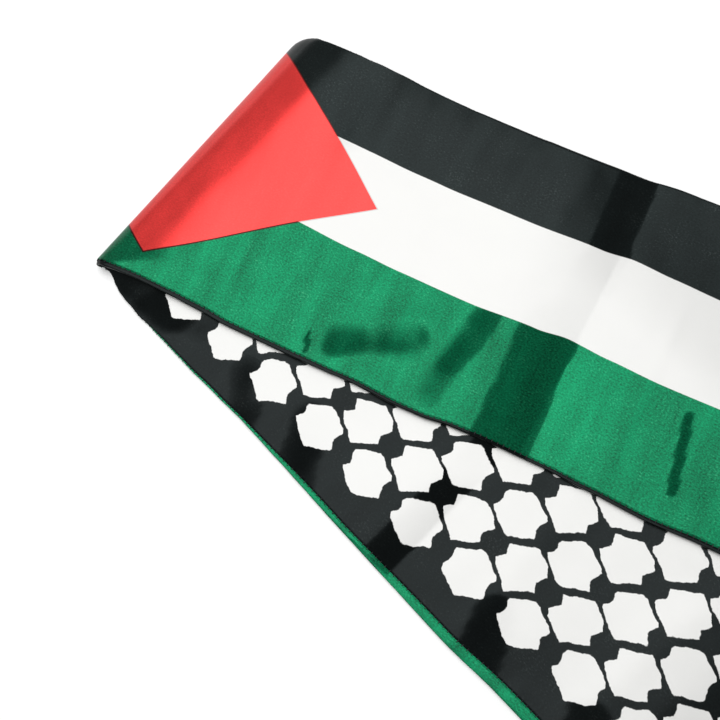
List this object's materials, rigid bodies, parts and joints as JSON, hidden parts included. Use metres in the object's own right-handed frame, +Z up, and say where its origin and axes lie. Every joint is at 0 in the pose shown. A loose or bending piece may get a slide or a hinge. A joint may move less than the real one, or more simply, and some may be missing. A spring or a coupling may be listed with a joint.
{
  "type": "flag scarf",
  "caption": "Long printed satin scarf with a striped flag on one side and a fishnet pattern on the other, folded over once at its middle and laid flat.",
  "frame": {"origin": "centre of the part's box, on the surface that the scarf lies on", "axes": "+X away from the fold, midway between the two limbs; +Y across the scarf, towards the fold's looser end; +Z up"},
  "size_m": [0.6604, 0.3642, 0.0182],
  "materials": {
    "flag_satin": "printed polyester satin, soft sheen",
    "net_satin": "printed polyester satin, soft sheen"
  },
  "bodies": {
    "root": {"flag_panel_upper": "flag_satin", "flag_panel_fold": "flag_satin", "flag_panel_lower": "flag_satin", "net_panel_upper": "net_satin", "net_panel_fold": "net_satin", "net_panel_lower": "net_satin"}
  },
  "joints": []
}
